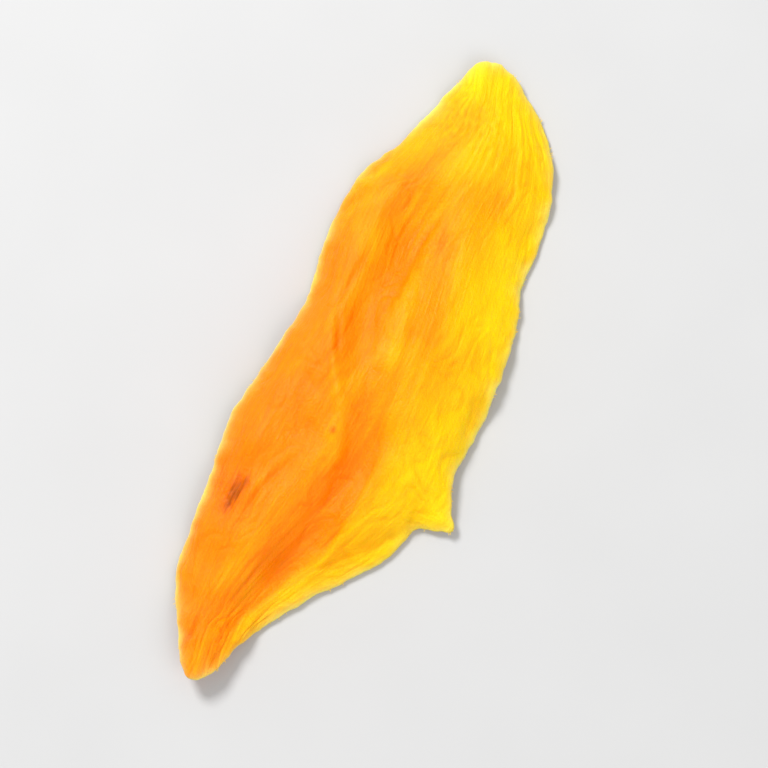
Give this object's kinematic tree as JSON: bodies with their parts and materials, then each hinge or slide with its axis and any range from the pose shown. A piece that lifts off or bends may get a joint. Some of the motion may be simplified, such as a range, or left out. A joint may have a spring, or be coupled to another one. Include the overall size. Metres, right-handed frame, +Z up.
{
  "type": "dried mango slice",
  "caption": "One leathery slice of dried mango, long and thin with a round end, a narrow end, a torn tab and soft furrows along it, lying flat.",
  "frame": {"origin": "bottom centre of the slice's box, on the surface it lies on", "axes": "+X along the slice towards its round end, +Y across it towards its straighter side, +Z up through its upper face"},
  "size_m": [0.1024, 0.0364, 0.0085],
  "materials": {
    "mango_flesh": "leathery, slightly moist and translucent, bright yellow at the thin edges and deep orange in the furrows"
  },
  "bodies": {
    "root": {"mango_slice": "mango_flesh"}
  },
  "joints": []
}
